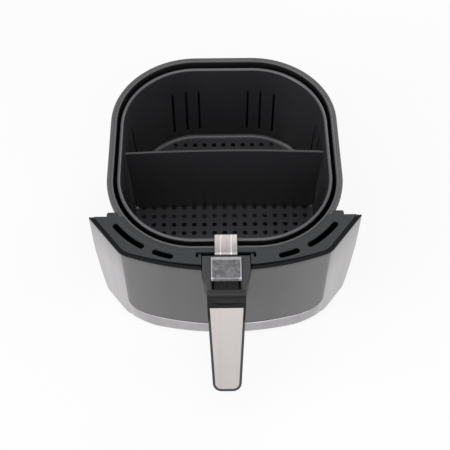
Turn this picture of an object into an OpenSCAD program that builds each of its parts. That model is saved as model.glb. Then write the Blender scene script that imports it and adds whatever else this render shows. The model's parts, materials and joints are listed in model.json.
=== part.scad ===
// Air fryer drawer: an outer pan with a plastic front, a lift-out perforated basket with a latching
// handle, and a removable divider. Millimetres. The origin is the centre of the pan's flat base,
// +Z is up, and the handle points towards -Y.

/* [Pan] */
// Half width of the pan's cavity at the rim
pan_half_x = 119.3; // [115:0.1:126]
// Half depth of the pan's cavity at the rim
pan_half_y = 127; // [124:0.1:132]
// Half width of the straight stretch of the pan's front wall
pan_flat_x = 31.8; // [30:0.1:38]
// Height of the pan's rolled rim
pan_rim_z = 137; // [132:0.5:145]
// Sheet thickness of the pan
pan_t = 1.2; // [0.8:0.1:1.6]
// How far the pan's wall leans in at its foot
pan_lean = 4.5; // [3:0.1:5.5]
// Outer radius between the pan's floor and wall
pan_foot_r = 13; // [9:0.5:16]
// Width of the pan's flange
pan_flange = 6.8; // [6:0.1:8]
// Depth of the flange's turned-down skirt
pan_skirt = 4.8; // [3:0.1:6]
// Top radius of the bosses that carry the basket
boss_r = 11; // [8:0.5:14]

/* [Basket] */
// Clear gap between the basket's rim and the pan at the sides
basket_gap_x = 3.4; // [2.4:0.1:4]
// Clear gap between the basket's rim and the pan at the front and back
basket_gap_y = 7.1; // [5:0.1:8]
// How much tighter the basket's corners are than the pan's
basket_corner_gap = 3.8; // [3:0.1:5]
// How far the basket's rim lies below the pan's rim
basket_drop = 2.5; // [1.5:0.1:5]
// Height of the basket's cooking floor
basket_floor_z = 20; // [16:0.5:26]
// Sheet thickness of the basket
basket_t = 1; // [0.8:0.1:1.4]
// How far the basket's wall leans in at its foot
basket_lean = 4; // [3:0.1:5]
// Diameter of the rolled rim
rim_roll = 4; // [3:0.1:4.6]
// Inner radius between the basket's floor and wall
basket_fillet = 6; // [4:0.5:8]
// Spacing of the floor holes
hole_pitch = 12; // [11:0.1:13]
// Diameter of the floor holes
hole_d = 5.8; // [4:0.1:7]
// Width of the vertical wall slots
slot_w = 2.5; // [1.5:0.1:4]
// Height of the vertical wall slots
slot_h = 67; // [40:1:72]
// Height of the slots' lower ends above the cooking floor
slot_lift = 12; // [9:0.5:18]

/* [Divider] */
// Sheet thickness of the divider
divider_t = 1.2; // [0.8:0.1:2]
// Clear gap between the divider and the basket's walls
divider_gap = 2.6; // [1:0.1:4]
// How far the divider's top edge lies below the basket's rim
divider_drop = 7.5; // [6:0.5:20]
// How far the divider bows back at its middle
divider_bow = 3; // [1:0.1:6]
// Thickness of the divider's hemmed top edge
divider_hem = 2.4; // [1.8:0.1:3.2]

/* [Front panel] */
// How far the rear tips stand out beside the pan's cavity
tip_out = 22.4; // [20:0.1:26]
// How far the rear tips lie behind the front end of the pan's cavity
tip_back = 35.3; // [32:0.1:38]
// How far the creases lie inside the side of the pan's cavity
crease_inset = 12.6; // [10:0.1:15]
// How far the creases stand in front of the pan's cavity
crease_ahead = 9.8; // [9:0.1:12]
// How far the front face bulges in front of its creases
nose_sag = 20.1; // [18:0.1:24]
// How far the panel's top edge lies below the deck's top face
panel_drop = 0.5; // [0.3:0.1:2]
// Height of the panel's lower edge above the table
panel_low_z = 3; // [2:0.5:6]
// Wall thickness of the panel
panel_t = 2; // [1.6:0.1:2.4]
// How far the front face leans out from its top to its lower band
panel_draft = 1.2; // [0:0.1:2]
// Height of the lower band at the middle of the front
band_z = 24; // [20:1:32]
// How far the lower band stands out from the front face
band_step = 0.8; // [0.4:0.1:1.2]
// Radius under the panel's lower edge
hem_r = 4; // [3:0.1:6]
// How far the side faces lean out at their foot
side_lean = 1; // [0:0.1:2]
// Height over which the rear edges sweep forward
sweep_h = 72; // [60:1:80]
// How far the rear edges sweep forward
sweep_run = 14; // [10:0.5:16]
// Half length of the softened crease
crease_soft = 6; // [3:0.5:10]

/* [Frame and deck] */
// Clear gap between the panel and the frame behind it
frame_gap = 0.4; // [0.2:0.1:0.6]
// Wall thickness of the frame
frame_t = 1.8; // [1.5:0.1:2]
// Height of the frame's floor
frame_floor_z = 19; // [18:0.5:24]
// Thickness of the deck
deck_t = 2.5; // [2:0.1:2.8]
// Thickness of the deck's lip over the pan's flange
lip_t = 1.1; // [0.8:0.1:1.15]
// Width of the pan's flange that stays open in front of the basket
flange_open = 3.5; // [3:0.1:4.4]
// Gap between the middle of the deck's front edge and the panel's outer face
deck_front_inset = 6.2; // [5.7:0.1:8]
// Gap between the deck's side edges and the panel's outer face
deck_side_inset = 4.6; // [4.5:0.1:6]
// Width of the deck's air slots
air_slot_w = 6.5; // [5.5:0.1:8]
// Distance of the air slots out from the pan's cavity
air_slot_out = 15.5; // [14:0.1:17]
// Half width of the latch slot across the deck
latch_slot_x = 30.5; // [29:0.1:34]

/* [Handle] */
// Half width of the handle's housing
housing_x = 24.3; // [23:0.1:26]
// Running gap round the housing
housing_gap = 0.9; // [0.5:0.1:1.3]
// Height of the housing
housing_h = 26; // [24:0.5:31]
// Gap between the pan's flange and the housing's rear face
housing_back = 5.9; // [5.4:0.1:6.6]
// Half width of the grip at its top
grip_top_x = 19.3; // [17:0.1:21]
// Half width of the grip at its end
grip_end_x = 14.3; // [12:0.1:16]
// Length of the grip along its slope
grip_length = 92; // [80:1:104]
// Thickness of the grip
grip_t = 22; // [18:0.5:25]
// Slope of the grip below level
grip_slope = 50; // [45:1:56]
// Width of the dark border beside the inlaid plate
plate_border = 2.4; // [1.6:0.1:4]
// Width of the dark border above the inlaid plate
plate_top_border = 0.8; // [0.6:0.1:3]
// Thickness of the inlaid plate
plate_t = 1.2; // [0.8:0.1:2]
// Width of the steel strap
strap_w = 22.6; // [18:0.1:26]
// Thickness of the steel strap
strap_t = 1.5; // [1.2:0.1:1.8]
// Height of the strap's top face above the deck
strap_rise = 2.5; // [2.3:0.1:5.5]

/* [Latch] */
// Travel of the release button
button_travel = 3; // [2:0.1:3.4]
// Half width of the release button
button_x = 10.5; // [8:0.1:11]
// Half width of the clear guard
guard_x = 15.3; // [14.6:0.1:16]
// Length of the clear guard
guard_length = 25.5; // [22:0.1:26]
// Wall thickness of the clear guard
guard_t = 1.4; // [1:0.1:1.8]
// Travel of the guard
guard_travel = 10.5; // [8:0.1:11]
// Radius of the latch's pin
pin_r = 1.5; // [1.2:0.1:1.8]
// Radial running clearance of the pin
pin_gap = 0.05; // [0.03:0.01:0.1]
// Wire diameter of the button's spring
wire_d = 0.8; // [0.5:0.1:1]

/* [Hidden] */
$fn = 64;
eps = 0.01;
seat = 0.3;

pan_corner_r = pan_half_x - pan_flat_x;
pan_core_x = pan_flat_x;
pan_core_y = pan_half_y - pan_corner_r;
basket_corner_r = pan_corner_r - basket_corner_gap;
basket_rim_z = pan_rim_z - basket_drop;
divider_top_z = basket_rim_z - divider_drop;
basket_core_x = pan_half_x - basket_gap_x - basket_corner_r;
basket_core_y = pan_half_y - basket_gap_y - basket_corner_r;
flange_top = pan_rim_z - 0.7;
lip_gap = 0.1;
deck_z = flange_top + lip_gap + lip_t;
flange_r = pan_corner_r + pan_flange;
foot_core_r = pan_corner_r - pan_lean + pan_t - pan_foot_r;
boss_lean = 5;
boss_x = 66;
boss_y = 72;

wall_top_r = basket_corner_r - rim_roll + 0.1;
wall_foot_r = wall_top_r - basket_lean;
floor_core_r = wall_foot_r - basket_fillet;
fillet_top_z = basket_floor_z + basket_fillet;
side_slots = [30, 45, 60];
end_slots = [29.5, 44.8, 60.8];

// Plan of the front: a shallow arc across the front face and a swept-back face at each side
tip_x = pan_half_x + tip_out;
tip_y = pan_half_y - tip_back;
crease_x = pan_half_x - crease_inset;
crease_y = pan_half_y + crease_ahead;
nose_y = crease_y + nose_sag;
panel_top_z = deck_z - panel_drop;
nose_r = (crease_x * crease_x + nose_sag * nose_sag) / (2 * nose_sag);
nose_cy = nose_r - nose_y;
side_len = norm([tip_x - crease_x, crease_y - tip_y]);
side_dir = [-(tip_x - crease_x) / side_len, -(crease_y - tip_y) / side_len];
side_out = [-side_dir[1], side_dir[0]];
deck_nose_y = nose_y - deck_front_inset;
deck_sag = deck_nose_y - crease_y + deck_side_inset;
deck_r = (crease_x * crease_x + deck_sag * deck_sag) / (2 * deck_sag);
deck_cy = deck_r - deck_nose_y;
rear_y = tip_y - 1;
sweep_power = 1.6;

housing_top_z = deck_z;
housing_low_z = housing_top_z - housing_h;
housing_rear_y = pan_half_y + pan_flange + housing_back;
strap_top_z = deck_z + strap_rise;
guard_rear_y = housing_rear_y + 2.2;
rail_front_y = guard_rear_y + guard_length + guard_travel + 0.6;
tray_front_y = rail_front_y + 0.5;
slope_y = tray_front_y + 10.3;
slope_z = housing_top_z - 17;
notch_low_x = housing_x - 1.8;
end_r = 9;

tray_z = housing_top_z - 3;
button_top_z = tray_z - 0.2;
button_low_z = button_top_z - 3;
pocket_floor_z = button_low_z - button_travel - 0.5;
spring_seat_z = housing_low_z + 8;
button_front_y = housing_rear_y + 25.3;
button_rear_y = housing_rear_y + 4.3;
rail_x = 13.4;
rail_w = 2;
pin_l = 18;
pivot_y = housing_rear_y + 12.8;
pivot_z = housing_low_z + 12.5;
press_y = pivot_y - 7;
latch_w = 9;
well_x = latch_w / 2 + 1.4;
nose_z = pivot_z - 9;
nose_reach = housing_rear_y - 2.5;
spring_y = pivot_y + 7.8;
spring_r = 3.4;
spring_turns = 5;

frame_screw_spots = [for (z = [pan_rim_z - 41, pan_rim_z - 71], x = [-20, 20]) [x, z]];
rivet_spots = [for (z = [pan_rim_z - 19, pan_rim_z - 81], x = [-25, 25]) [x, z]];
deck_screw_spots = [
    for (s = [1, -1]) each [[s * (tip_x - 15.7), -tip_y - 5.3], [s * (crease_x - 26.3), -crease_y + 3.1]]
];
panel_screw_angle = asin((crease_x - 30.8) / nose_r);
panel_screw_spots = [for (z = [panel_top_z - 31, panel_top_z - 93], s = [-1, 1]) [s * panel_screw_angle, z]];
boss_top_z = deck_z - 67.5;
deck_screw_l = 18;
grip_screw_l = 13;
lean_angle = atan(pan_lean / (pan_rim_z - pan_foot_r));
basket_lean_angle = atan(basket_lean / (basket_rim_z - fillet_top_z));

function arc_points(cx, cy, r, a0, a1, n) =
    [for (i = [0:n]) [cx + r * cos(a0 + (a1 - a0) * i / n), cy + r * sin(a0 + (a1 - a0) * i / n)]];

// Where the side face, moved in by `inset`, meets an arc of radius r about (0, cy)
function crease_t(inset, r, cy) =
    let (p = [tip_x, -tip_y] - inset * side_out - [0, cy], b = p * side_dir, c = p * p - r * r)
    -b + sqrt(b * b - c);
function side_point(inset, t) = [tip_x, -tip_y] - inset * side_out + t * side_dir;

// Right half of a front outline, from its rear end to the middle
function half_outline(inset, r, cy, y_end, soft, n) =
    let (
        tc = crease_t(inset, r, cy),
        t0 = (side_point(inset, 0)[1] + y_end) / -side_dir[1],
        corner = side_point(inset, tc),
        ac = atan2(corner[0], cy - corner[1]),
        da = soft / r * 180 / PI,
        p1 = side_point(inset, tc - soft),
        p2 = [r * sin(ac - da), cy - r * cos(ac - da)]
    )
    concat(
        [for (i = [0:n]) side_point(inset, t0 + (tc - soft - t0) * i / n)],
        [for (i = [1:4]) let (s = i / 4) (1 - s) * (1 - s) * p1 + 2 * s * (1 - s) * corner + s * s * p2],
        [for (i = [1:3 * n]) let (a = (ac - da) * (1 - i / (3 * n))) [r * sin(a), cy - r * cos(a)]]
    );
function mirrored(half) =
    let (last = len(half) - 1)
    concat(half, [for (i = [last - 1:-1:0]) [-half[i][0], half[i][1]]]);
function front_outline(inset, y_end, n = 8) =
    mirrored(half_outline(inset, nose_r - inset, nose_cy, y_end, crease_soft, n));

// Sweeps a section, drawn as distance from the corner centre and height, round a rectangle of corner centres
module sweep_round(core_x, core_y) {
    for (turn = [0:3]) {
        sx = (turn == 0 || turn == 3) ? 1 : -1;
        sy = turn < 2 ? 1 : -1;
        translate([sx * core_x, sy * core_y, 0]) rotate([0, 0, 90 * turn])
            rotate_extrude(angle = 90) children();
    }
    for (turn = [0:3]) {
        half = turn % 2 == 0 ? core_y : core_x;
        out = turn % 2 == 0 ? core_x : core_y;
        rotate([0, 0, 90 * turn]) translate([out, half, 0]) rotate([90, 0, 0])
            linear_extrude(2 * half) children();
    }
}

module round_rect(core_x, core_y, r) {
    for (sx = [-1, 1], sy = [-1, 1]) translate([sx * core_x, sy * core_y]) circle(r, $fn = 128);
    square([2 * core_x, 2 * (core_y + r)], center = true);
    square([2 * (core_x + r), 2 * core_y], center = true);
}

// Places a piece on the outside of the pan's front wall, which leans by lean_angle, with +Z pointing forward
module on_pan_front(x, z) {
    wall_y = pan_core_y + pan_corner_r + pan_t - pan_lean * (pan_rim_z - z) / (pan_rim_z - pan_foot_r);
    translate([x, -wall_y, z]) rotate([90 + lean_angle, 0, 0]) children();
}

function basket_wall_y(z) =
    basket_core_y + wall_top_r - basket_lean * (basket_rim_z - z) / (basket_rim_z - fillet_top_z);
// Places a piece on the inside of the basket's front wall, with +Z pointing into the basket
module on_basket_front(x, z) {
    translate([x, -basket_wall_y(z), z]) rotate([-90 + basket_lean_angle, 0, 0]) children();
}

module outer_pan() {
    side_r = pan_corner_r - pan_lean;
    boss_h = basket_floor_z - basket_t - seat;
    outer = arc_points(foot_core_r, pan_foot_r, pan_foot_r, -90, 0, 6);
    inner = arc_points(foot_core_r, pan_foot_r, pan_foot_r - pan_t, 0, -90, 6);
    bead = arc_points(pan_corner_r + 1.5, pan_rim_z - 1.5, 1.5, 20, 180, 8);
    color("dimgray") difference() {
        union() {
            sweep_round(pan_core_x, pan_core_y)
                polygon(concat(
                    [[0, 0]], outer,
                    [[pan_corner_r + pan_t, flange_top - pan_t], [flange_r - pan_t, flange_top - pan_t],
                     [flange_r - pan_t, flange_top - pan_skirt], [flange_r, flange_top - pan_skirt],
                     [flange_r, flange_top - 0.6], [flange_r - 0.6, flange_top],
                     [pan_corner_r + 3.1, flange_top]],
                    bead, [[side_r, pan_foot_r + 1]], inner, [[0, pan_t]]
                ));
            translate([-pan_core_x, -pan_core_y, 0]) cube([2 * pan_core_x, 2 * pan_core_y, pan_t]);
            for (sx = [-1, 1], sy = [-1, 1]) translate([sx * boss_x, sy * boss_y, 0])
                cylinder(h = boss_h, r1 = boss_r + boss_lean, r2 = boss_r);
        }
        for (sx = [-1, 1], sy = [-1, 1]) translate([sx * boss_x, sy * boss_y, -eps])
            cylinder(h = boss_h - pan_t, r1 = boss_r + boss_lean - pan_t, r2 = boss_r - pan_t);
        for (spot = rivet_spots) on_pan_front(spot[0], spot[1])
            translate([0, 0, -4]) cylinder(h = 8, r = 2.05);
    }
}

module pan_bracket() {
    plate_w = 64;
    plate_h = 78;
    plate_top = pan_rim_z - 11;
    color("silver") difference() {
        on_pan_front(0, plate_top)
            translate([-plate_w / 2, -plate_h, 0.1]) cube([plate_w, plate_h, strap_t]);
        for (spot = rivet_spots) on_pan_front(spot[0], spot[1])
            translate([0, 0, -1]) cylinder(h = 6, r = 2.05);
        for (spot = frame_screw_spots) translate([spot[0], -housing_rear_y, spot[1]])
            rotate([-90, 0, 0]) cylinder(h = 20, r = 1.75);
        for (x = [-catch_rivet_x, catch_rivet_x]) on_pan_front(x, nose_z - 10)
            translate([0, 0, -1]) cylinder(h = 6, r = 1.55);
    }
}

module rivet(r, head_r, grip) {
    cylinder(h = grip, r = r);
    translate([0, 0, grip]) cylinder(h = 1.1, r1 = head_r, r2 = head_r - 0.7);
    translate([0, 0, -1.1]) cylinder(h = 1.1, r1 = head_r - 0.7, r2 = head_r);
}

module pan_rivets() {
    color("gainsboro") for (spot = rivet_spots) on_pan_front(spot[0], spot[1])
        translate([0, 0, -pan_t - 0.1]) rivet(2, 3.6, pan_t + strap_t + 0.3);
    color("gainsboro") for (x = [-catch_rivet_x, catch_rivet_x]) on_pan_front(x, nose_z - 10) {
        translate([0, 0, 0.15]) cylinder(h = 2 * strap_t + 0.25, r = 1.5);
        translate([0, 0, 2 * strap_t + 0.3]) cylinder(h = 1, r1 = 2.8, r2 = 2.2);
    }
}

catch_rivet_x = 7;
catch_y = nose_reach - 0.4;
catch_wall_y = pan_core_y + pan_corner_r + 3;
module catch_plate() {
    lip_z = nose_z + 3;
    color("silver") difference() {
        union() {
            translate([-9, -catch_y, lip_z]) cube([18, catch_y - catch_wall_y, strap_t]);
            on_pan_front(0, nose_z - 10) translate([-12, -5, strap_t + 0.2]) cube([24, 20, strap_t]);
        }
        for (x = [-catch_rivet_x, catch_rivet_x]) on_pan_front(x, nose_z - 10) cylinder(h = 6, r = 1.55);
    }
}

module notch(grow, low) {
    rotate([90, 0, 0]) translate([0, 0, housing_rear_y - 4])
        linear_extrude(40)
            polygon([
                [-notch_low_x - grow, low], [notch_low_x + grow, low],
                [housing_x + grow, deck_z], [housing_x + grow, deck_z + 5],
                [-housing_x - grow, deck_z + 5], [-housing_x - grow, deck_z]
            ]);
}

module at_nose(angle, z) {
    translate([0, nose_cy, z]) rotate([0, 0, angle]) translate([0, -nose_r, 0]) rotate([-90, 0, 0])
        children();
}

module screw(shank_r, shank, head_r, head) {
    translate([0, 0, -shank]) cylinder(h = shank, r = shank_r);
    difference() {
        cylinder(h = head, r = head_r);
        translate([0, 0, head - 0.9]) for (a = [0, 90]) rotate([0, 0, a])
            translate([-1.6, -0.4, 0]) cube([3.2, 0.8, 1]);
    }
}

frame_in = panel_t + frame_gap;
frame_pan_r = pan_corner_r + 3.8;
module front_frame() {
    wall_top = flange_top - pan_skirt - 0.6;
    color("#1c1c1e") difference() {
        union() {
            difference() {
                translate([0, 0, frame_floor_z]) linear_extrude(wall_top - frame_floor_z) difference() {
                    polygon(front_outline(frame_in, rear_y));
                    round_rect(pan_core_x, pan_core_y, frame_pan_r);
                }
                translate([0, 0, frame_floor_z + frame_t]) linear_extrude(wall_top) difference() {
                    polygon(front_outline(frame_in + frame_t, rear_y + frame_t));
                    round_rect(pan_core_x, pan_core_y, frame_pan_r + frame_t);
                }
            }
            translate([0, 0, wall_top - eps]) linear_extrude(panel_top_z - 0.5 - wall_top) difference() {
                polygon(front_outline(frame_in, rear_y));
                polygon(front_outline(frame_in + frame_t, rear_y - 1));
            }
            for (spot = deck_screw_spots) translate([spot[0], spot[1], frame_floor_z])
                cylinder(h = boss_top_z - frame_floor_z, r = 4.9);
            for (spot = frame_screw_spots) frame_post(spot, 3.9);
        }
        for (spot = deck_screw_spots) translate([spot[0], spot[1], frame_floor_z - eps]) {
            cylinder(h = boss_top_z - frame_floor_z - 4, r = 3.5);
            cylinder(h = boss_top_z, r = 1.7);
        }
        for (spot = frame_screw_spots) frame_post(spot, 1.9, 6);
        for (spot = panel_screw_spots) at_nose(spot[0], spot[1]) cylinder(h = 8, r = 1.9);
        notch(housing_gap + 0.4, housing_low_z - 1.2);
        for (m = [0, 1]) mirror([m, 0, 0]) swept_end();
        translate([-13.5, -frame_pan_r - pan_core_y - 5, nose_z - 17]) cube([27, 12, 27]);
    }
}

// What clears the frame from behind the panel's swept rear edge
module swept_end() {
    back = 3.5;
    steps = 6;
    far = 30;
    curve = [for (k = [0:steps]) let (h = k / steps)
        [sweep_run * (1 - pow(h, 1 / sweep_power)) + back, panel_low_z + sweep_h * h + back]];
    section = concat([[-far, -2], [sweep_run + back, -2]], curve, [[-far, panel_low_z + sweep_h + back]]);
    translate([tip_x, -tip_y, 0]) rotate([0, 0, atan2(side_dir[1], side_dir[0])]) rotate([90, 0, 0])
        translate([0, 0, -5]) linear_extrude(22) polygon(section);
}

// A post on the back of the frame that reaches the pan's bracket, or the hole through it
module frame_post(spot, r, extra = 0) {
    lean = pan_lean * (pan_rim_z - spot[1]) / (pan_rim_z - pan_foot_r);
    reach = frame_pan_r - pan_corner_r - pan_t - strap_t - 0.6 + lean;
    translate([spot[0], -pan_core_y - frame_pan_r - eps - extra, spot[1]]) rotate([-90, 0, 0])
        cylinder(h = reach + 2 * extra, r = r);
}

module frame_screws() {
    color("dimgray") for (spot = frame_screw_spots) {
        lean = pan_lean * (pan_rim_z - spot[1]) / (pan_rim_z - pan_foot_r);
        translate([spot[0], -pan_core_y - frame_pan_r - frame_t - 0.1, spot[1]]) rotate([90, 0, 0])
            screw(1.7, frame_pan_r + frame_t - pan_corner_r - pan_t + lean - 0.3, 3.2, 2);
    }
}

// Front panel: a loft whose columns follow the outline and whose rows climb from the hem to the top
side_steps = 9;
hem_steps = 3;
band_steps = 3;
face_steps = 8;
bend_r = 25;
panel_half =
    let (
        t_end = crease_t(0, nose_r, nose_cy),
        h = half_outline(0, nose_r, nose_cy, tip_y, crease_soft, side_steps)
    )
    [for (i = [0:len(h) - 1]) i <= side_steps
        ? side_point(0, (t_end - crease_soft) * pow(i / side_steps, 1.5)) : h[i]];
panel_cols = mirrored(panel_half);
panel_last = len(panel_cols) - 1;
function panel_side(i) = min(i, panel_last - i);
function panel_normal(i) =
    let (a = panel_cols[max(i - 1, 0)], b = panel_cols[min(i + 1, panel_last)], d = b - a)
    [-d[1], d[0]] / norm(d);
function panel_low(i) =
    let (a = norm(panel_cols[i] - panel_cols[i * 2 < panel_last ? 0 : panel_last]))
    panel_low_z + (a < sweep_run ? sweep_h * pow(1 - a / sweep_run, sweep_power) : 0);
function panel_band(i) =
    let (x = min(bend_r, abs(panel_cols[i][0]) - (crease_x - bend_r + 1)))
    panel_side(i) <= side_steps + 2 ? band_z + bend_r
        : x > 0 ? band_z + bend_r - sqrt(bend_r * bend_r - x * x) : band_z;

// How far the foot of the front stands out: fuller towards the corners, and drawn in round them
corner_in = 5.7;
corner_span = 0.3;
function front_foot(s) =
    let (into = max(0, s - 1 + corner_span) / corner_span)
    2 * (1 + 1.26 * s * s) - corner_in * pow(into, 1.6);
side_corner_in = 2.2;
side_corner_run = 15;
function panel_out(i, z) =
    let (
        low = panel_low_z + hem_r,
        zc = panel_band(i),
        side = panel_side(i) <= side_steps + 1,
        below = z < zc ? (zc - z) / (zc - low) : 0,
        from_crease = norm([abs(panel_cols[i][0]) - crease_x, panel_cols[i][1] + crease_y]),
        corner = side_corner_in * pow(max(0, 1 - from_crease / side_corner_run), 2),
        s = min(1, abs(panel_cols[i][0]) / crease_x),
        face = panel_draft * (panel_top_z - max(z, zc)) / (panel_top_z - band_z),
        step = z < zc ? band_step * (1 - pow(s, 8)) : 0
    )
    side
        ? side_lean * (panel_top_z - z) / (panel_top_z - low) - corner * pow(below, 1.3)
        : (face + step) * (1 - pow(below, 1.3)) + front_foot(s) * pow(below, 1.3);

// Rows: the hem's curl, the band up to its edge, the step, then the face
function panel_z(i, row) =
    let (low = panel_low(i) + hem_r, edge = max(panel_band(i), low + 4))
    row <= hem_steps ? low
        : row <= hem_steps + band_steps ? low + (edge - 0.3 - low) * (row - hem_steps) / band_steps
        : edge + 0.3 + (panel_top_z - edge - 0.3) * (row - hem_steps - band_steps - 1) / face_steps;
function panel_point(i, row, skin) =
    let (
        curl = 90 * min(row, hem_steps) / hem_steps,
        r = hem_r - skin,
        z = panel_z(i, row),
        out = panel_out(i, z) - skin - (row <= hem_steps ? r * (1 - sin(curl)) : 0),
        p = panel_cols[i] + out * panel_normal(i)
    )
    [p[0], p[1], z - (row <= hem_steps ? r * cos(curl) : 0)];
panel_rows = hem_steps + band_steps + face_steps + 2;
function grid_faces(cols, rows, base, flip) =
    [for (i = [0:cols - 2], j = [0:rows - 2], k = [0, 1])
        let (a = base + i * rows + j, b = a + 1, c = a + rows, d = c + 1)
        k == 0 ? (flip ? [a, b, c] : [a, c, b]) : (flip ? [b, d, c] : [b, c, d])];

module panel_shell() {
    cols = panel_last + 1;
    skin = cols * panel_rows;
    outer = [for (i = [0:panel_last], j = [0:panel_rows - 1]) panel_point(i, j, 0)];
    inner = [for (i = [0:panel_last], j = [0:panel_rows - 1]) panel_point(i, j, panel_t)];
    edge_cols = [for (i = [0:panel_last - 1], j = [0, panel_rows - 1], k = [0, 1])
        let (a = i * panel_rows + j, c = a + panel_rows, up = j > 0)
        k == 0 ? (up ? [a, c, a + skin] : [a, a + skin, c])
               : (up ? [c, c + skin, a + skin] : [c, a + skin, c + skin])];
    edge_ends = [for (j = [0:panel_rows - 2], i = [0, panel_last], k = [0, 1])
        let (a = i * panel_rows + j, b = a + 1, far = i > 0)
        k == 0 ? (far ? [a, a + skin, b] : [a, b, a + skin])
               : (far ? [b, a + skin, b + skin] : [b, b + skin, a + skin])];
    polyhedron(
        points = concat(outer, inner),
        faces = concat(
            grid_faces(cols, panel_rows, 0, false), grid_faces(cols, panel_rows, skin, true),
            edge_cols, edge_ends
        ),
        convexity = 6
    );
}

module front_panel() {
    color("#77757a") difference() {
        union() {
            panel_shell();
            for (spot = panel_screw_spots) at_nose(spot[0], spot[1])
                translate([0, 0, -0.3]) cylinder(h = frame_in + 0.2, r = 3.6);
        }
        for (spot = panel_screw_spots) at_nose(spot[0], spot[1])
            translate([0, 0, 0.4]) cylinder(h = frame_in, r = 1.55);
        notch(housing_gap, housing_low_z - 0.8);
    }
}

module panel_screws() {
    color("dimgray") for (spot = panel_screw_spots) at_nose(spot[0], spot[1])
        translate([0, 0, frame_in + frame_t + 0.1]) screw(1.5, frame_in + frame_t - 0.5, 3.2, 2);
}

module air_slot(start, end) {
    r = pan_corner_r + air_slot_out;
    half = air_slot_w / 2;
    cap = asin(half / r);
    first = cap - end;
    last = -start - cap;
    steps = round((last - first) / 2);
    translate([pan_core_x, -pan_core_y, deck_z - deck_t - 1]) linear_extrude(deck_t + 2) polygon(concat(
        arc_points(0, 0, r + half, first, last, steps),
        arc_points(r * cos(last), r * sin(last), half, last + 20, last + 160, 7),
        arc_points(0, 0, r - half, last, first, steps),
        arc_points(r * cos(first), r * sin(first), half, first + 200, first + 340, 7)
    ));
}

module deck_plan() {
    tab_x = tip_x - 24.7;
    tab_w = 6.2;
    polygon(mirrored(half_outline(deck_side_inset, deck_r, deck_cy, rear_y, crease_soft, 8)));
    for (s = [-1, 1]) {
        translate([s * (tab_x + 3.7), -rear_y + 2.5]) circle(2.5);
        translate([s * tab_x - 5, -rear_y - 2]) square([10, 7]);
        translate([s * (tab_x + tab_w / 2) - tab_w / 2, -rear_y - 2]) square([tab_w, 4.5]);
    }
}

module front_deck() {
    latch_y = housing_rear_y - 2;
    slot_depth = 2.5;
    hook_w = 2.5;
    gate_x = housing_x + housing_gap;
    color("#48484c") difference() {
        union() {
            translate([0, 0, deck_z - deck_t]) linear_extrude(deck_t) deck_plan();
            for (spot = deck_screw_spots) translate([spot[0], spot[1], boss_top_z + 0.2])
                cylinder(h = deck_z - deck_t - boss_top_z, r = 4.5);
        }
        translate([0, 0, deck_z - lip_t - 5]) linear_extrude(5)
            round_rect(pan_core_x, pan_core_y, flange_r + 0.4);
        linear_extrude(deck_z + 1) round_rect(pan_core_x, pan_core_y, pan_corner_r + flange_open);
        for (spot = deck_screw_spots) translate([spot[0], spot[1], boss_top_z]) cylinder(h = 20, r = 1.45);
        for (m = [0, 1]) mirror([m, 0, 0]) {
            air_slot(36, 60);
            air_slot(65.4, 78);
        }
        translate([0, 0, deck_z - deck_t - 1]) linear_extrude(deck_t + 2) {
            translate([-gate_x, -latch_y - 30]) square([2 * gate_x, 30.1]);
            translate([-latch_slot_x, -latch_y]) square([2 * latch_slot_x, slot_depth]);
            for (s = [-1, 1]) translate([s * (latch_slot_x - hook_w / 2) - hook_w / 2, -latch_y - 3.3])
                square([hook_w, 3.4]);
        }
    }
}

module deck_screws() {
    color("dimgray") for (spot = deck_screw_spots) translate([spot[0], spot[1], boss_top_z - 4.1])
        mirror([0, 0, 1]) screw(1.4, deck_screw_l, 3, 2.2);
}

module basket() {
    bead_r = rim_roll / 2;
    bead_z = basket_rim_z - bead_r;
    bead_x = basket_corner_r - bead_r;
    outer = arc_points(floor_core_r, fillet_top_z, basket_fillet + basket_t, -90, 0, 5);
    inner = arc_points(floor_core_r, fillet_top_z, basket_fillet, 0, -90, 5);
    roll = arc_points(bead_x, bead_z, bead_r, -60, 195, 14);
    slot_z = basket_floor_z + slot_lift;
    wall_y = basket_core_y + wall_foot_r - 16;
    wall_x = basket_core_x + wall_foot_r - 8;
    color("#2b2b2e") difference() {
        union() {
            sweep_round(basket_core_x, basket_core_y)
                polygon(concat(outer, [[wall_top_r + basket_t, bead_z - bead_r - 0.4]], roll, inner));
            translate([0, 0, basket_floor_z - basket_t]) linear_extrude(basket_t) difference() {
                round_rect(basket_core_x, basket_core_y, floor_core_r + 0.3);
                floor_holes();
            }
        }
        for (s = [-1, 1], x = end_slots, m = [-1, 1])
            translate([m * x - slot_w / 2, s * (wall_y + 15) - 15, slot_z]) cube([slot_w, 30, slot_h]);
        for (s = [-1, 1], y = side_slots, m = [-1, 1])
            translate([m * (wall_x + 10) - 10, s * y - slot_w / 2, slot_z]) cube([20, slot_w, slot_h]);
        for (spot = strap_rivet_spots) on_basket_front(spot[0], spot[1])
            translate([0, 0, -4]) cylinder(h = 8, r = 1.85);
    }
}

// Holes on a square grid, kept where they lie whole on the flat of the floor
function on_floor(x, y) =
    norm([max(abs(x) - basket_core_x, 0), max(abs(y) - basket_core_y, 0)]) < floor_core_r - hole_d / 2;
module floor_holes() {
    reach = ceil((max(basket_core_x, basket_core_y) + floor_core_r) / hole_pitch);
    for (row = [-reach:reach], col = [-reach:reach]) if (on_floor(col * hole_pitch, row * hole_pitch))
        translate([col * hole_pitch, row * hole_pitch]) circle(d = hole_d, $fn = 32);
}

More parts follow.
